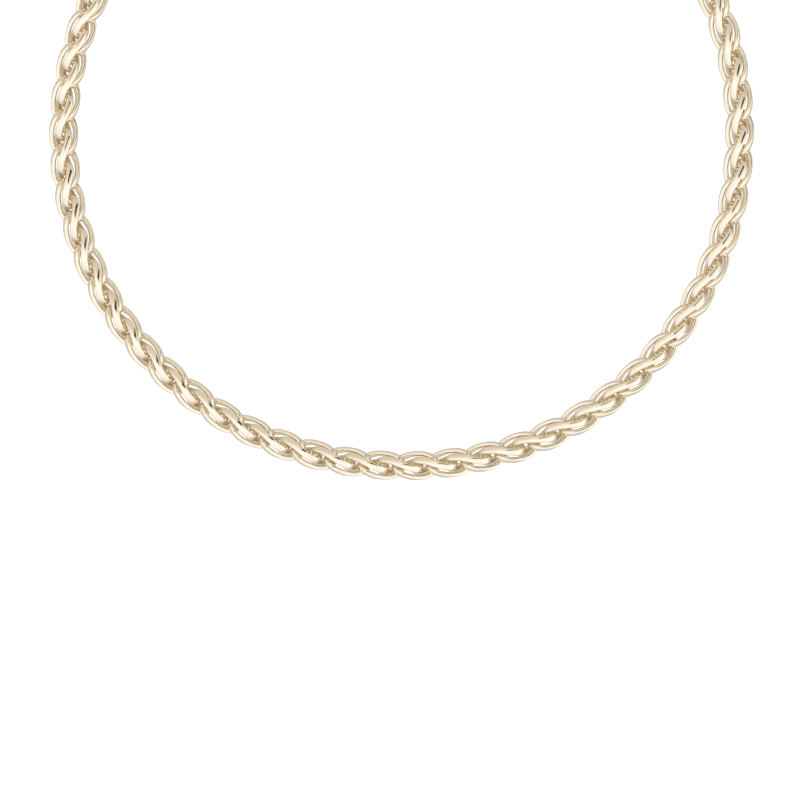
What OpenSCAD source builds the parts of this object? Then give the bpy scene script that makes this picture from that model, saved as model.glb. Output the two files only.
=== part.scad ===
// Wheat chain necklace: twisted oval links of flattened gold wire, each one holding the
// next two, closed by two soldered rings and a plain barrel clasp, laid out as a loop.

/* [Necklace] */
// Length around the closed loop, rounded to whole pairs of links
loop_length = 406.4; // [300:0.1:520]

/* [Link] */
// Outer length of one link
link_length = 9.2; // [9:0.1:10]
// Outer width of one link
link_width = 5.6; // [5.4:0.1:6.2]
// Thickness of the wire, measured in the link's own plane
wire_thickness = 1.0; // [0.8:0.05:1.05]
// Breadth of the flattened wire, measured across the link's plane
wire_breadth = 1.5; // [1:0.05:1.6]
// Turn of one end of a link against its other end, in degrees
link_twist = 84; // [76:1:94]
// Fullness of the oval, where 2 is an ellipse
oval_fullness = 2.4; // [2.2:0.05:2.7]
// Free play lengthwise between a link and the second link after it
hook_play = 0.66; // [0.5:0.02:1]
// Distance by which upright links lie ahead of the middle between flat ones
upright_lead = 0.2; // [0:0.05:0.4]
// Roll of the whole chain about its own line, in degrees
chain_roll = -8; // [-15:1:15]

/* [End rings] */
// Outer diameter of an end ring
ring_outer = 5.4; // [5.2:0.1:6.4]
// Wire diameter of an end ring
ring_wire = 1.0; // [0.7:0.05:1.1]
// Gap left where an end ring passes through a link or a clasp eye
ring_gap = 0.25; // [0.2:0.05:0.5]

/* [Clasp] */
// Diameter of the clasp barrel
barrel_diameter = 5.0; // [4:0.1:5.4]
// Length of the clasp barrel
barrel_length = 9.0; // [7:0.1:14]
// Radius of the rounding at the barrel's ends
barrel_rounding = 1.2; // [0.6:0.1:1.6]
// Outer diameter of a clasp eye
eye_outer = 4.2; // [4:0.1:4.8]
// Wire diameter of a clasp eye
eye_wire = 1.1; // [0.8:0.05:1.2]
// Depth to which a clasp eye is set into the barrel's end
eye_seat = 0.7; // [0.5:0.1:1]

/* [Hidden] */
// Line of the laid chain: angle from +X in degrees, how far it leaves a true circle as a share
// of the circle's radius, and how far the links there have drifted along it.
chain_route = [
    [0, -0.001, -0.1], [30, 0, 0], [60, -0.002, 0], [90, -0.004, 0], [120, -0.004, 0],
    [150, -0.006, 0.1], [180, 0.0035, 0.3], [210, 0.006, -0.1], [240, -0.003, -0.65],
    [270, -0.008, -0.75], [300, 0.001, -0.25], [330, 0.004, -0.25]
];
// Steps around a link and sides of its wire
link_steps = 12;
wire_sides = 5;
// Degrees by which the steps crowd towards a link's ends
step_crowding = 8;
$fn = 48;

// Centreline of a link, half its length and half its width
half_length = (link_length - wire_thickness) / 2;
half_width = (link_width - wire_thickness) / 2;
// Distance along the chain from one link to the next
link_pitch = (link_length - 2 * wire_thickness - hook_play) / 2;
// Height of the chain's own line over the surface that it lies on
line_height = link_width / 2;

// Distances along the chain, each from the middle of the last link
ring_radius = (ring_outer - ring_wire) / 2;
eye_radius = (eye_outer - eye_wire) / 2;
ring_reach = half_length - wire_thickness / 2 - ring_gap - ring_wire / 2 + ring_radius;
eye_reach = ring_reach + ring_radius - ring_wire / 2 - ring_gap - eye_wire / 2 + eye_radius;
clasp_reach = eye_reach + eye_radius + eye_wire / 2 - eye_seat + barrel_length / 2;

// Whole pairs of links between the two flat end links, and the radius that closes the loop
pairs = round((loop_length - 2 * clasp_reach) / link_pitch / 2);
route_length = 2 * pairs * link_pitch + 2 * clasp_reach;
route_radius = route_length / (2 * PI);
// Link 0 lies at the front of the loop; odd links lie flat and even ones stand upright
first_link = pairs % 2 == 0 ? 1 - pairs : -pairs;
last_link = first_link + 2 * pairs;
clasp_at = last_link * link_pitch + clasp_reach;

// The route

// A column of the route's table, read at any angle on a smooth curve through its rows
function row(i, column) = chain_route[(i + len(chain_route)) % len(chain_route)][column];
function smooth(a, b, c, d, t) =
    b + t / 2 * (c - a + t * (2 * a - 5 * b + 4 * c - d + t * (3 * (b - c) + d - a)));
function read_route(angle, column) =
    let (turn = (angle % 360 + 360) % 360 * len(chain_route) / 360, i = floor(turn))
    smooth(row(i - 1, column), row(i, column), row(i + 1, column), row(i + 2, column), turn - i);
function sway(angle) = read_route(angle, 1);
function drift(angle) = read_route(angle, 2);

// Angle, radius and heading at a distance along the route, counted from the front of the loop
function route_angle(s) = -90 + 360 * s / route_length;
function route_r(angle) = route_radius * (1 + sway(angle));
function heading(angle) =
    angle + 90 - atan((route_r(angle + 1) - route_r(angle - 1)) / route_r(angle) / 2 * 180 / PI);

// Puts children on the route: their X runs along it, Y points into the loop and Z up
module on_route(s) {
    angle = route_angle(s);
    translate([route_r(angle) * cos(angle), route_r(angle) * sin(angle), line_height])
        rotate([0, 0, heading(angle)])
            children();
}

// One link

function fuller(x) = sign(x) * pow(abs(x), 2 / oval_fullness);
// Twist of the oval's plane at a distance x from the link's middle
function twist_at(x) = link_twist * x / (2 * half_length);
function oval(u) =
    let (x = half_length * fuller(cos(u)), y = half_width * fuller(sin(u)), phi = twist_at(x))
    [x, y * cos(phi), y * sin(phi)];
function unit(v) = v / norm(v);
// Wire section at step angle u: thickness lies in the oval's plane, breadth across it
function section(u) =
    let (
        p = oval(u),
        along = unit(oval(u + 0.5) - oval(u - 0.5)),
        phi = twist_at(p[0]),
        n = [0, -sin(phi), cos(phi)],
        across = unit(n - (n * along) * along),
        out = cross(along, across)
    )
    [for (j = [0:wire_sides - 1]) let (v = 360 * j / wire_sides)
        p + out * cos(v) * wire_thickness / 2 + across * sin(v) * wire_breadth / 2];

module link() {
    points = [for (i = [0:link_steps - 1]) let (p = 360 * i / link_steps)
        each section(p - step_crowding * sin(2 * p))];
    function at(i, j) = (i % link_steps) * wire_sides + j % wire_sides;
    faces = [for (i = [0:link_steps - 1], j = [0:wire_sides - 1])
        each [[at(i, j), at(i + 1, j + 1), at(i + 1, j)], [at(i, j), at(i, j + 1), at(i + 1, j + 1)]]];
    polyhedron(points, faces, convexity = 6);
}

// Roll of link k: the even ones stand a quarter turn from the odd ones
function link_roll(k) = chain_roll + (abs(k) % 2 == 0 ? 90 : 0);
// Place of link k along the route: its even place, its lead and the drift of its neighbourhood
function link_at(k) =
    k * link_pitch + (abs(k) % 2 == 0 ? upright_lead : 0) + drift(route_angle(k * link_pitch));

module links(from, to) {
    for (k = [from:to])
        on_route(link_at(k)) rotate([link_roll(k), 0, 0]) link();
}

// Rings and clasp

module torus(radius, wire) {
    rotate_extrude() translate([radius, 0]) circle(d = wire);
}

// An end ring stands square to the end of the link that it holds; side is 1 at the last link
function ring_roll(side) = chain_roll + side * link_twist / 2 + 90;
module end_ring(side) {
    k = side > 0 ? last_link : first_link;
    on_route(link_at(k) + side * ring_reach)
        rotate([ring_roll(side), 0, 0]) torus(ring_radius, ring_wire);
}

module barrel() {
    flat = barrel_length - 2 * barrel_rounding;
    core = barrel_diameter / 2 - barrel_rounding;
    rotate([0, 90, 0]) rotate_extrude() {
        translate([0, -barrel_length / 2]) square([core, barrel_length]);
        translate([0, -flat / 2]) square([barrel_diameter / 2, flat]);
        // The rounding's circles keep only their part outside the barrel's axis
        intersection() {
            for (side = [-1, 1]) translate([core, side * flat / 2]) circle(r = barrel_rounding);
            translate([0, -barrel_length / 2]) square([barrel_diameter / 2, barrel_length]);
        }
    }
}

// Nodes

gold = [0.90, 0.78, 0.52];

module chain_left() color(gold) links(first_link, 0);
module chain_right() color(gold) links(1, last_link);
module end_ring_left() color(gold) end_ring(-1);
module end_ring_right() color(gold) end_ring(1);
// Barrel with an eye on each end, square to the ring that it holds
module clasp() color(gold)
    on_route(clasp_at)
        translate([0, pow(eye_reach - clasp_reach, 2) / (2 * route_radius), 0]) {
            barrel();
            for (side = [-1, 1])
                translate([side * (clasp_reach - eye_reach), 0, 0])
                    rotate([ring_roll(-side) + 90, 0, 0]) torus(eye_radius, eye_wire);
        }

chain_left();
chain_right();
end_ring_left();
end_ring_right();
clasp();
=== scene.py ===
# %% [markdown]
# # A wheat chain necklace in polished gold
#
# The necklace is a single loop of 117 equal links, closed by two soldered rings and a plain
# barrel clasp. The CAD model gives every piece its size and place. This script loads it as a
# fixed frame, puts smoothly drawn links in the place of the coarse ones, polishes the metal,
# and sets the loop on a white table under soft studio light.

# %% Load the fixed frame
import math

import bpy
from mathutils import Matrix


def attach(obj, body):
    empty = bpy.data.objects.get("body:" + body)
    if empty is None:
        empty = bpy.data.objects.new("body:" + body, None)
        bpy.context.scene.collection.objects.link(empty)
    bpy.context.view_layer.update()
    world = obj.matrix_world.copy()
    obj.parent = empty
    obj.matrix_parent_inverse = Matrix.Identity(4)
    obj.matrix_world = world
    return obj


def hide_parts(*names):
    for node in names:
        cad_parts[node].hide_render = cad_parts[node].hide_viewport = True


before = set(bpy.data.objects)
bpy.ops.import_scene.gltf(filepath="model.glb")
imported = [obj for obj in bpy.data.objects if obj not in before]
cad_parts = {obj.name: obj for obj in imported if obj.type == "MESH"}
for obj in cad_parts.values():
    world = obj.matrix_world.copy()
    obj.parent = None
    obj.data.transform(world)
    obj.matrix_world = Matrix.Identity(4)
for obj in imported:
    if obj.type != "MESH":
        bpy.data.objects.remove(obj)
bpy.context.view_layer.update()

MM = 0.001
print("CAD nodes:", sorted(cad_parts))

# %% [markdown]
# ## Sizes of the real chain
#
# A chain maker sets up a machine with a few numbers: the wire's section, the link's length and
# width, and how far each link is twisted about its own length. All sizes here are real ones,
# written in millimetres and turned into metres at once, because Blender works in metres.
#
# Each link hooks into the second one after it with a little free play, so the step from one
# link to the next follows from the link's length. Links are counted from the front of the loop:
# link 0 lies there, and the links on its left have negative numbers. The clasp's reach is how
# far its middle lies from the middle of each end link.

# %% Sizes
LINK_LENGTH = 9.2 * MM
LINK_WIDTH = 5.6 * MM
WIRE_THICKNESS = 1.0 * MM
WIRE_BREADTH = 1.5 * MM
LINK_TWIST = math.radians(84)
OVAL_FULLNESS = 2.4
WIRE_SQUARENESS = 2.8
HOOK_PLAY = 0.66 * MM
LINK_PITCH = (LINK_LENGTH - 2 * WIRE_THICKNESS - HOOK_PLAY) / 2
UPRIGHT_LEAD = 0.2 * MM
CHAIN_ROLL = math.radians(-8)
LINE_HEIGHT = LINK_WIDTH / 2
FIRST_LINK = -57
LAST_LINK = 59
CLASP_REACH = 13.4 * MM
ROUTE_LENGTH = (LAST_LINK - FIRST_LINK) * LINK_PITCH + 2 * CLASP_REACH
ROUTE_RADIUS = ROUTE_LENGTH / math.tau
print(f"one link every {LINK_PITCH / MM:.2f} mm")
print(f"loop {ROUTE_LENGTH / MM:.1f} mm long, {2 * ROUTE_RADIUS / MM:.1f} mm across its middle line")

# %% [markdown]
# ## The line that the chain lies on
#
# A necklace that is laid out by hand is nearly a circle, but not quite. Twelve values, one for
# each 30 degrees from +X, say how far its line leaves the true circle, as a share of the radius.
# Twelve more say how many millimetres the loose links have drifted along it. A smooth curve
# through them fills in between. It is the same line as in the CAD model, so each smooth link
# covers its coarse one.

# %% The line of the laid chain
SWAY = [-0.001, 0, -0.002, -0.004, -0.004, -0.006, 0.0035, 0.006, -0.003, -0.008, 0.001, 0.004]
DRIFT = [-0.1, 0, 0, 0, 0, 0.1, 0.3, -0.1, -0.65, -0.75, -0.25, -0.25]


def read_round(values, angle):
    """The value at an angle, on a smooth curve through values that are spread round the loop."""
    turn = angle % math.tau / math.tau * len(values)
    i, t = int(turn), turn % 1
    a, b, c, d = (values[(i + k) % len(values)] for k in (-1, 0, 1, 2))
    return b + t / 2 * (c - a + t * (2 * a - 5 * b + 4 * c - d + t * (3 * (b - c) + d - a)))


def route_angle(distance):
    """Angle from +X at a distance along the line, counted from the front of the loop."""
    return math.tau * distance / ROUTE_LENGTH - math.pi / 2


def route_radius(angle):
    """Distance of the line from the middle of the loop at an angle."""
    return ROUTE_RADIUS * (1 + read_round(SWAY, angle))


def place_on_route(distance):
    """Point and heading at a distance along the line."""
    angle = route_angle(distance)
    radius = route_radius(angle)
    step = math.radians(1)
    slope = (route_radius(angle + step) - route_radius(angle - step)) / radius / (2 * step)
    point = (radius * math.cos(angle), radius * math.sin(angle), LINE_HEIGHT)
    return point, angle + math.pi / 2 - math.atan(slope)


print("front of the loop, mm:", [round(c / MM, 2) for c in place_on_route(0)[0]])

# %% [markdown]
# ## Small helpers for node trees
#
# Geometry Nodes and materials are both trees of nodes. Three short functions keep the cells
# below readable: one adds a node and fills its sockets, one adds a single sum, and one mixes two
# colours. A Mix node has its sockets once for each kind of value under the same names, so its
# colour sockets are picked by their numbers.

# %% Helpers for node trees
FIRST_COLOUR = 6
SECOND_COLOUR = 7
MIXED_COLOUR = 2


def add_node(tree, kind, inputs=None, **settings):
    """A new node; an input is a number, a colour, or another node's output."""
    made = tree.nodes.new(kind)
    for name, value in settings.items():
        setattr(made, name, value)
    for name, value in (inputs or {}).items():
        if isinstance(value, bpy.types.NodeSocket):
            tree.links.new(value, made.inputs[name])
        else:
            made.inputs[name].default_value = value
    return made


def reckon(tree, operation, *values):
    """The result of one Math node."""
    return add_node(tree, "ShaderNodeMath", dict(enumerate(values)), operation=operation).outputs[0]


def mix_colours(tree, factor, first, second, blend="MIX"):
    """The result of one Mix node on two colours."""
    return add_node(tree, "ShaderNodeMix", {
        "Factor": factor,
        FIRST_COLOUR: first,
        SECOND_COLOUR: second,
    }, data_type="RGBA", blend_type=blend).outputs[MIXED_COLOUR]


print("helpers:", add_node.__name__, reckon.__name__, mix_colours.__name__)

# %% [markdown]
# ## One link
#
# A wheat link starts as an oval ring of flattened wire. It is gripped at both ends and turned by
# about a quarter turn, so that one end stands on edge to the other. That twist is what lets each
# link lie between its neighbours like a grain in an ear of wheat.
#
# It could be modelled by hand with a Simple Deform modifier. Here Geometry Nodes work the oval
# and the twist out from named sizes, because the same formula then gives every link, and a
# change of one size changes them all.

# %% Node tree for a chain of links
INPUTS = [
    ("Link Length", "NodeSocketFloat"),
    ("Link Width", "NodeSocketFloat"),
    ("Wire Thickness", "NodeSocketFloat"),
    ("Wire Breadth", "NodeSocketFloat"),
    ("Twist", "NodeSocketFloat"),
    ("Fullness", "NodeSocketFloat"),
    ("Squareness", "NodeSocketFloat"),
    ("Steps", "NodeSocketInt"),
    ("Sides", "NodeSocketInt"),
    ("Play", "NodeSocketVector"),
    ("Seed", "NodeSocketInt"),
    ("Metal", "NodeSocketMaterial"),
]


def fuller(tree, value, power):
    """sign(value) * |value| ** power, which fills an ellipse out towards its corners."""
    size = reckon(tree, "POWER", reckon(tree, "ABSOLUTE", value), power)
    return reckon(tree, "MULTIPLY", reckon(tree, "SIGN", value), size)


def twisted_oval(tree, size):
    """Curve along the middle of a link's wire, with the link's own plane as its normal."""
    half_length = reckon(tree, "SUBTRACT", size["Link Length"], size["Wire Thickness"])
    half_length = reckon(tree, "MULTIPLY", half_length, 0.5)
    half_width = reckon(tree, "SUBTRACT", size["Link Width"], size["Wire Thickness"])
    half_width = reckon(tree, "MULTIPLY", half_width, 0.5)
    power = reckon(tree, "DIVIDE", 2.0, size["Fullness"])
    circle = add_node(tree, "GeometryNodeCurvePrimitiveCircle", {"Resolution": size["Steps"]})

    index = add_node(tree, "GeometryNodeInputIndex").outputs[0]
    around = reckon(tree, "DIVIDE", index, size["Steps"])
    around = reckon(tree, "MULTIPLY", around, math.tau)
    along = fuller(tree, reckon(tree, "COSINE", around), power)
    aside = fuller(tree, reckon(tree, "SINE", around), power)
    along = reckon(tree, "MULTIPLY", along, half_length)
    aside = reckon(tree, "MULTIPLY", aside, half_width)

    share = reckon(tree, "DIVIDE", along, reckon(tree, "MULTIPLY", half_length, 2.0))
    turn = reckon(tree, "MULTIPLY", share, size["Twist"])
    cosine, sine = reckon(tree, "COSINE", turn), reckon(tree, "SINE", turn)
    point = add_node(tree, "ShaderNodeCombineXYZ", {
        "X": along,
        "Y": reckon(tree, "MULTIPLY", aside, cosine),
        "Z": reckon(tree, "MULTIPLY", aside, sine),
    })
    plane = add_node(tree, "ShaderNodeCombineXYZ", {
        "Y": reckon(tree, "MULTIPLY", sine, -1.0),
        "Z": cosine,
    })
    held = add_node(tree, "GeometryNodeCaptureAttribute", {"Geometry": circle.outputs[0]})
    held.capture_items.new("VECTOR", "Plane")
    tree.links.new(plane.outputs[0], held.inputs["Plane"])
    oval = add_node(tree, "GeometryNodeSetPosition", {
        "Geometry": held.outputs["Geometry"],
        "Position": point.outputs[0],
    })
    return add_node(tree, "GeometryNodeSetCurveNormal", {
        "Curve": oval.outputs[0],
        "Normal": held.outputs["Plane"],
    }, mode="FREE").outputs[0]


def flattened_wire(tree, size):
    """Closed curve of the wire's section: breadth along X, thickness along Y."""
    circle = add_node(tree, "GeometryNodeCurvePrimitiveCircle", {"Resolution": size["Sides"]})
    index = add_node(tree, "GeometryNodeInputIndex").outputs[0]
    around = reckon(tree, "DIVIDE", index, size["Sides"])
    around = reckon(tree, "MULTIPLY", around, math.tau)
    power = reckon(tree, "DIVIDE", 2.0, size["Squareness"])
    broad = fuller(tree, reckon(tree, "COSINE", around), power)
    thick = fuller(tree, reckon(tree, "SINE", around), power)
    half_breadth = reckon(tree, "MULTIPLY", size["Wire Breadth"], 0.5)
    half_thickness = reckon(tree, "MULTIPLY", size["Wire Thickness"], 0.5)
    point = add_node(tree, "ShaderNodeCombineXYZ", {
        "X": reckon(tree, "MULTIPLY", broad, half_breadth),
        "Y": reckon(tree, "MULTIPLY", thick, half_thickness),
    })
    return add_node(tree, "GeometryNodeSetPosition", {
        "Geometry": circle.outputs[0],
        "Position": point.outputs[0],
    }).outputs[0]


def loose_turn(tree, size):
    """Rotation of each link: its turn on the line, and a small random play on each axis."""
    turn = add_node(tree, "GeometryNodeInputNamedAttribute", {
        "Name": "turn",
    }, data_type="FLOAT_VECTOR")
    least_play = add_node(tree, "ShaderNodeVectorMath", {
        0: size["Play"],
        1: (-1, -1, -1),
    }, operation="MULTIPLY")
    play = add_node(tree, "FunctionNodeRandomValue", {
        "Min": least_play.outputs[0],
        "Max": size["Play"],
        "Seed": size["Seed"],
    }, data_type="FLOAT_VECTOR")
    angles = add_node(tree, "ShaderNodeVectorMath", {
        0: turn.outputs[0],
        1: play.outputs[0],
    }, operation="ADD")
    return add_node(tree, "FunctionNodeEulerToRotation", {0: angles.outputs[0]}).outputs[0]


def link_tree():
    """Tree that puts a link on each point of the mesh that it is given."""
    tree = bpy.data.node_groups.new("Wheat links", "GeometryNodeTree")
    interface = tree.interface
    interface.new_socket("Geometry", in_out="INPUT", socket_type="NodeSocketGeometry")
    for name, kind in INPUTS:
        interface.new_socket(name, in_out="INPUT", socket_type=kind)
    interface.new_socket("Geometry", in_out="OUTPUT", socket_type="NodeSocketGeometry")
    given = add_node(tree, "NodeGroupInput")
    size = {name: given.outputs[name] for name, _ in INPUTS}

    wire = add_node(tree, "GeometryNodeCurveToMesh", {
        "Curve": twisted_oval(tree, size),
        "Profile Curve": flattened_wire(tree, size),
    })
    link = add_node(tree, "GeometryNodeSetShadeSmooth", {"Geometry": wire.outputs[0]})
    placed = add_node(tree, "GeometryNodeInstanceOnPoints", {
        "Points": given.outputs["Geometry"],
        "Instance": link.outputs[0],
        "Rotation": loose_turn(tree, size),
    })
    real = add_node(tree, "GeometryNodeRealizeInstances", {"Geometry": placed.outputs[0]})
    metal = add_node(tree, "GeometryNodeSetMaterial", {
        "Geometry": real.outputs[0],
        "Material": size["Metal"],
    })
    add_node(tree, "NodeGroupOutput", {"Geometry": metal.outputs[0]})
    return tree


LINKS = link_tree()
print("link tree:", len(LINKS.nodes), "nodes")

# %% [markdown]
# ## Polished gold
#
# The real chain is pale 14 karat gold. Its surface is a mirror, but not a perfect one: tumbling
# leaves it very slightly wavy, and handling leaves faint marks that scatter a little light.
# Metal has no paint on it, so its colour is the tint of its reflection.
#
# A photographed scratch map could give the marks. Noise does it here, because it needs no
# picture and never repeats. It reads Object coordinates, so that the patterns stay fixed to the
# metal. The grain of each pattern is its scale to the metre. A noise value seldom leaves the
# middle of its range, so the marks are read from that middle part alone.

# %% The gold
GOLD_PALE = (0.965, 0.865, 0.70, 1)
GOLD_WARM = (0.955, 0.835, 0.645, 1)
TINT_GRAIN = 300.0
MARK_GRAIN = 1500.0
WAVE_GRAIN = 700.0
WAVE_HEIGHT = 0.05 * MM
NOISE_LOW = 0.3
NOISE_HIGH = 0.7
CLEAN_SHARE = 0.7
MARKED_SHARE = 1.5


def polished_gold(name, ripple, haze):
    """Polished gold; ripple is the waviness left by tumbling, haze the roughness of the polish."""
    metal = bpy.data.materials.new(name)
    metal.use_nodes = True
    tree = metal.node_tree
    shader = tree.nodes["Principled BSDF"]
    where = add_node(tree, "ShaderNodeTexCoord").outputs["Object"]

    alloy = add_node(tree, "ShaderNodeTexNoise", {
        "Vector": where,
        "Scale": TINT_GRAIN,
        "Detail": 2.0,
    })
    tint = mix_colours(tree, alloy.outputs["Fac"], GOLD_PALE, GOLD_WARM)
    tree.links.new(tint, shader.inputs["Base Color"])

    marks = add_node(tree, "ShaderNodeTexNoise", {
        "Vector": where,
        "Scale": MARK_GRAIN,
        "Detail": 4.0,
    })
    polish = add_node(tree, "ShaderNodeMapRange", {
        "Value": marks.outputs["Fac"],
        "From Min": NOISE_LOW,
        "From Max": NOISE_HIGH,
        "To Min": haze * CLEAN_SHARE,
        "To Max": haze * MARKED_SHARE,
    })
    tree.links.new(polish.outputs[0], shader.inputs["Roughness"])

    waves = add_node(tree, "ShaderNodeTexNoise", {
        "Vector": where,
        "Scale": WAVE_GRAIN,
        "Detail": 1.0,
    })
    relief = add_node(tree, "ShaderNodeBump", {
        "Strength": ripple,
        "Distance": WAVE_HEIGHT,
        "Height": waves.outputs["Fac"],
    })
    tree.links.new(relief.outputs[0], shader.inputs["Normal"])
    shader.inputs["Metallic"].default_value = 1.0
    return metal


CHAIN_GOLD = polished_gold("chain gold", ripple=0.3, haze=0.1)
CLASP_GOLD = polished_gold("clasp gold", ripple=0.15, haze=0.14)
print("materials:", CHAIN_GOLD.name, "and", CLASP_GOLD.name)

# %% [markdown]
# ## The chain, in two halves
#
# Odd links lie flat and even ones stand upright, and each one reaches through the next two. In
# the laid chain the upright links slip a little towards their next neighbour, and all of them
# drift with the links around them. The links are loose in each other, so no two of them lie at
# quite the same angle, and each catches the light a little differently. The CAD model splits the
# chain into a left and a right half, and each half gets its own mesh here.
#
# An Array modifier along a curve could repeat the link, but here each link has a drift and a
# small turn of its own. So each half starts as a mesh of loose points, one for each link, that
# carry the link's turn as an attribute, and the node tree above puts a link on each. A link may
# play by a few degrees about its own length, and by less about the other two axes.

# %% The two halves of the chain
LINK_STEPS = 56
WIRE_SIDES = 18
LINK_PLAY = tuple(math.radians(most) for most in (2.5, 0.6, 1.2))
LEFT_SEED = 3
RIGHT_SEED = 8


def link_points(name, numbers):
    """An object of one point for each link, with its roll and heading as the attribute turn."""
    places = []
    for k in numbers:
        upright = k % 2 == 0
        drift = read_round(DRIFT, route_angle(k * LINK_PITCH)) * MM
        distance = k * LINK_PITCH + (UPRIGHT_LEAD if upright else 0) + drift
        point, heading = place_on_route(distance)
        roll = CHAIN_ROLL + (math.pi / 2 if upright else 0)
        places.append((point, (roll, 0, heading)))
    mesh = bpy.data.meshes.new(name)
    mesh.from_pydata([point for point, _ in places], [], [])
    turns = mesh.attributes.new("turn", "FLOAT_VECTOR", "POINT")
    for item, (_, turn) in zip(turns.data, places):
        item.vector = turn
    piece = bpy.data.objects.new(name, mesh)
    bpy.context.collection.objects.link(piece)
    return piece


def set_inputs(modifier, values):
    """Sets a node modifier's inputs by name, through the identifiers of its sockets."""
    for item in modifier.node_group.interface.items_tree:
        if item.item_type == "SOCKET" and item.in_out == "INPUT" and item.name in values:
            modifier[item.identifier] = values[item.name]


def settle(piece):
    """Turns a piece's live modifiers into a plain mesh of its own."""
    bpy.context.view_layer.update()
    evaluated = piece.evaluated_get(bpy.context.evaluated_depsgraph_get())
    piece.data = bpy.data.meshes.new_from_object(evaluated)
    piece.modifiers.clear()
    piece.data.name = piece.name


def chain_half(name, node, numbers, seed):
    """Makes one half of the chain and puts it in the place of its CAD node."""
    piece = link_points(name, numbers)
    modifier = piece.modifiers.new("links", "NODES")
    modifier.node_group = LINKS
    set_inputs(modifier, {
        "Link Length": LINK_LENGTH,
        "Link Width": LINK_WIDTH,
        "Wire Thickness": WIRE_THICKNESS,
        "Wire Breadth": WIRE_BREADTH,
        "Twist": LINK_TWIST,
        "Fullness": OVAL_FULLNESS,
        "Squareness": WIRE_SQUARENESS,
        "Steps": LINK_STEPS,
        "Sides": WIRE_SIDES,
        "Play": LINK_PLAY,
        "Seed": seed,
        "Metal": CHAIN_GOLD,
    })
    settle(piece)
    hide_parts(node)
    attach(piece, "root")
    print(f"{name}: {len(numbers)} links, {len(piece.data.polygons)} faces")


chain_half("links_left", "chain_left", range(FIRST_LINK, 1), LEFT_SEED)
chain_half("links_right", "chain_right", range(1, LAST_LINK + 1), RIGHT_SEED)

# %% [markdown]
# ## End rings and clasp
#
# The last link at each end is held by a round soldered ring, and the clasp's own eyes hold the
# rings. They could be drawn again as curves with a round bevel, but their exact CAD solids are
# already right, so they stay and only get their metal.

# %% End rings and clasp
for name in ("end_ring_left", "end_ring_right", "clasp"):
    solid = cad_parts[name]
    solid.data.materials.clear()
    solid.data.materials.append(CLASP_GOLD)
    print(name, "is dressed in", CLASP_GOLD.name)

# %% [markdown]
# ## Camera
#
# The photograph looks straight down on the laid chain, with the front of the loop at the bottom
# and the clasp end out of view at the top. An orthographic camera could frame it too. A long
# lens from well above is closer to what a photographer uses, and it keeps every part of the loop
# in nearly the same scale. Its focal length follows from the width that the picture shows at the
# chain's height.

# %% Camera
PICTURE_WIDTH = 153.2 * MM
PICTURE_CENTRE = (-0.46 * MM, -51.53 * MM)
CAMERA_HEIGHT = 600 * MM
SENSOR_WIDTH = 36
NEAREST_SEEN = 10 * MM
FARTHEST_SEEN = 100

lens = bpy.data.cameras.new("camera")
lens.sensor_width = SENSOR_WIDTH
lens.lens = SENSOR_WIDTH * (CAMERA_HEIGHT - LINE_HEIGHT) / PICTURE_WIDTH
lens.clip_start = NEAREST_SEEN
lens.clip_end = FARTHEST_SEEN
lens.dof.use_dof = False
camera = bpy.data.objects.new("camera", lens)
bpy.context.collection.objects.link(camera)
camera.location = (*PICTURE_CENTRE, CAMERA_HEIGHT)
bpy.context.scene.camera = camera
print(f"camera: {lens.lens:.0f} mm lens, {CAMERA_HEIGHT / MM:.0f} mm over the table")

# %% [markdown]
# ## Table
#
# The photograph's background is pure white right up to the metal, with no shadow on it, as on a
# pane of milk glass that is lit from below and overexposed. A plain white floor would show the
# chain's shadow and come out light grey. So the camera sees this table glow pure white, while to
# the metal it is a dark grey with a weaker glow. The dark grey is painted shade that stands in for
# the chain's shadow on the table, and it draws a grey line along the edges of the wire. The glow
# fills the chain's inside.

# %% Table
TABLE_HALF = 2.0
# painted shade: a dark grey that the metal reflects in place of the chain's shadow on the table
TABLE_PAINTED_SHADE = (0.2, 0.21, 0.23, 1)
TABLE_ROUGHNESS = 0.6
TABLE_GLOW = 0.4
SEEN_GLOW = 1.0
WHITE = (1, 1, 1, 1)

pane = bpy.data.meshes.new("table")
corners = [(x * TABLE_HALF, y * TABLE_HALF, 0) for x, y in ((-1, -1), (1, -1), (1, 1), (-1, 1))]
pane.from_pydata(corners, [], [(0, 1, 2, 3)])
table = bpy.data.objects.new("table", pane)
bpy.context.collection.objects.link(table)

shaded_glowing_table = bpy.data.materials.new("white table")
shaded_glowing_table.use_nodes = True
table_tree = shaded_glowing_table.node_tree
shader = table_tree.nodes["Principled BSDF"]
# painted shade: the dark grey base colour stands in for the chain's shadow on the table
shader.inputs["Base Color"].default_value = TABLE_PAINTED_SHADE
shader.inputs["Roughness"].default_value = TABLE_ROUGHNESS
shader.inputs["Emission Color"].default_value = WHITE
seen = add_node(table_tree, "ShaderNodeLightPath").outputs["Is Camera Ray"]
glow = reckon(table_tree, "MULTIPLY_ADD", seen, SEEN_GLOW - TABLE_GLOW, TABLE_GLOW)
table_tree.links.new(glow, shader.inputs["Emission Strength"])
pane.materials.append(shaded_glowing_table)
print("table:", 2 * TABLE_HALF, "m wide")

# %% [markdown]
# ## Cloth of the light tent
#
# Jewellery is photographed in a tent of white cloth, because polished metal shows whatever
# stands round it. Sheets with lamps behind them could be built round the chain. Here the tent is
# a world whose brightness depends on the direction alone, because it then stands in no camera's
# way. It is brightest high up and towards the front of the loop, dimmer and warmer towards the
# back, and a lamp outside lightens its right wall.

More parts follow.
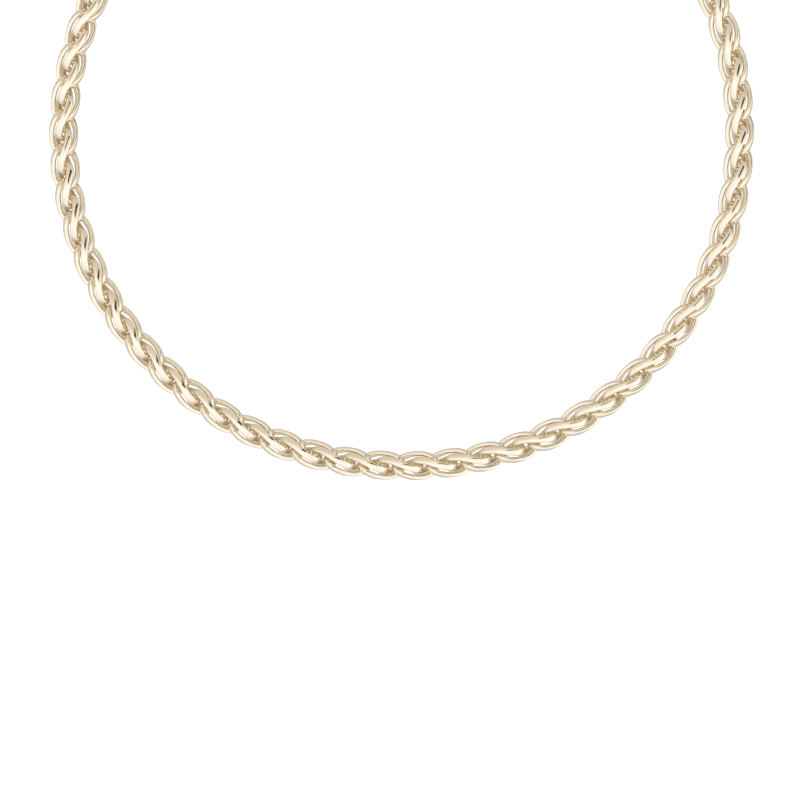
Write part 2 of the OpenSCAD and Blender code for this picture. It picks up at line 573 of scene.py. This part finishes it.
# %% Cloth of the light tent
SKY = [  # height of the direction, from -1 straight down to 1 straight up, and its brightness
    (-1.0, 0.5),
    (0.0, 0.9),
    (0.12, 1.0),
    (0.35, 0.95),
    (0.8, 1.05),
    (0.97, 1.2),
    (1.0, 1.1),
]
FRONT_BRIGHTNESS = 1.04
BACK_BRIGHTNESS = 0.73
FRONT_TINT = (0.98, 1.0, 1.06, 1)
BACK_TINT = (1.0, 0.97, 0.88, 1)
BACK_AZIMUTH = math.radians(80)
BACK_START = -0.3
BACK_END = 0.7
RIGHT_GAIN = 0.45
RIGHT_START = 0.5
RIGHT_END = 1.0

world = bpy.data.worlds.new("light tent")
bpy.context.scene.world = world
world.use_nodes = True
tent = world.node_tree
direction = add_node(tent, "ShaderNodeTexCoord").outputs["Generated"]
parts = add_node(tent, "ShaderNodeSeparateXYZ", {0: direction}).outputs


def ease(value, low, high):
    """0 below low, 1 above high, and a smooth step between them; low may be the higher one."""
    return add_node(tent, "ShaderNodeMapRange", {
        "Value": value,
        "From Min": low,
        "From Max": high,
    }, interpolation_type="SMOOTHSTEP").outputs[0]


def towards(azimuth):
    """How far the direction points towards an azimuth, from -1 to 1."""
    aim = (math.cos(azimuth), math.sin(azimuth), 0)
    dot = add_node(tent, "ShaderNodeVectorMath", {0: direction, 1: aim}, operation="DOT_PRODUCT")
    return dot.outputs["Value"]


height = reckon(tent, "MULTIPLY_ADD", parts["Z"], 0.5, 0.5)
ramp = add_node(tent, "ShaderNodeValToRGB", {"Fac": height})
while len(ramp.color_ramp.elements) < len(SKY):
    ramp.color_ramp.elements.new(0.5)
for stop, (level, brightness) in zip(ramp.color_ramp.elements, SKY):
    stop.position = (level + 1) / 2
    stop.color = (brightness, brightness, brightness, 1)

back = ease(towards(BACK_AZIMUTH), BACK_START, BACK_END)
tint = mix_colours(tent, back, FRONT_TINT, BACK_TINT)
cloth = mix_colours(tent, 1.0, ramp.outputs["Color"], tint, blend="MULTIPLY")
tent.links.new(cloth, tent.nodes["Background"].inputs["Color"])

walls = reckon(tent, "MULTIPLY_ADD", back, BACK_BRIGHTNESS - FRONT_BRIGHTNESS, FRONT_BRIGHTNESS)
right = ease(parts["X"], RIGHT_START, RIGHT_END)
walls = reckon(tent, "MULTIPLY", walls, reckon(tent, "MULTIPLY_ADD", right, RIGHT_GAIN, 1.0))
print("light tent:", len(SKY), "steps from straight down to straight up")

# %% [markdown]
# ## Gap in the light tent
#
# Metal that mirrors nothing but white cloth looks like chalk, so a photographer leaves a gap
# between two cloths. The dark room behind it draws the thin dark stripes on the left side of the
# chain. The gap stands upright, has soft edges, and ends above the table and below the top.

# %% Gap in the light tent
SLIT_AZIMUTH = math.radians(45)
SLIT_LOW = math.radians(14)
SLIT_HIGH = math.radians(77)
SLIT_ENDS = math.radians(4)
SLIT_HALF = math.radians(6.5)
SLIT_EDGE = 0.4
SLIT_SIDE = 0.2
SLIT_BRIGHTNESS = 0.04

off_middle = reckon(tent, "ABSOLUTE", towards(SLIT_AZIMUTH + math.pi / 2))
outer_edge = math.sin(SLIT_HALF * (1 + SLIT_EDGE))
inner_edge = math.sin(SLIT_HALF * (1 - SLIT_EDGE))
slit = reckon(
    tent, "MULTIPLY",
    ease(off_middle, outer_edge, inner_edge),
    ease(towards(SLIT_AZIMUTH), 0.0, SLIT_SIDE),
)
for end, inwards in ((SLIT_LOW, SLIT_ENDS), (SLIT_HIGH, -SLIT_ENDS)):
    open_end = ease(parts["Z"], math.sin(end - inwards), math.sin(end + inwards))
    slit = reckon(tent, "MULTIPLY", slit, open_end)
dimming = reckon(tent, "MULTIPLY_ADD", slit, SLIT_BRIGHTNESS - 1.0, 1.0)
strength = reckon(tent, "MULTIPLY", walls, dimming)
tent.links.new(strength, tent.nodes["Background"].inputs["Strength"])
print(f"gap: {math.degrees(2 * SLIT_HALF):.0f} degrees wide")

# %% [markdown]
# ## Picture settings
#
# The photograph's white is plain white. Blender's usual view softens bright light like film and
# would turn the table grey, so the Standard view is set, which shows colours as they are.

# %% Picture settings
view_settings = bpy.context.scene.view_settings
view_settings.view_transform = "Standard"
view_settings.look = "None"
print("view transform:", view_settings.view_transform)
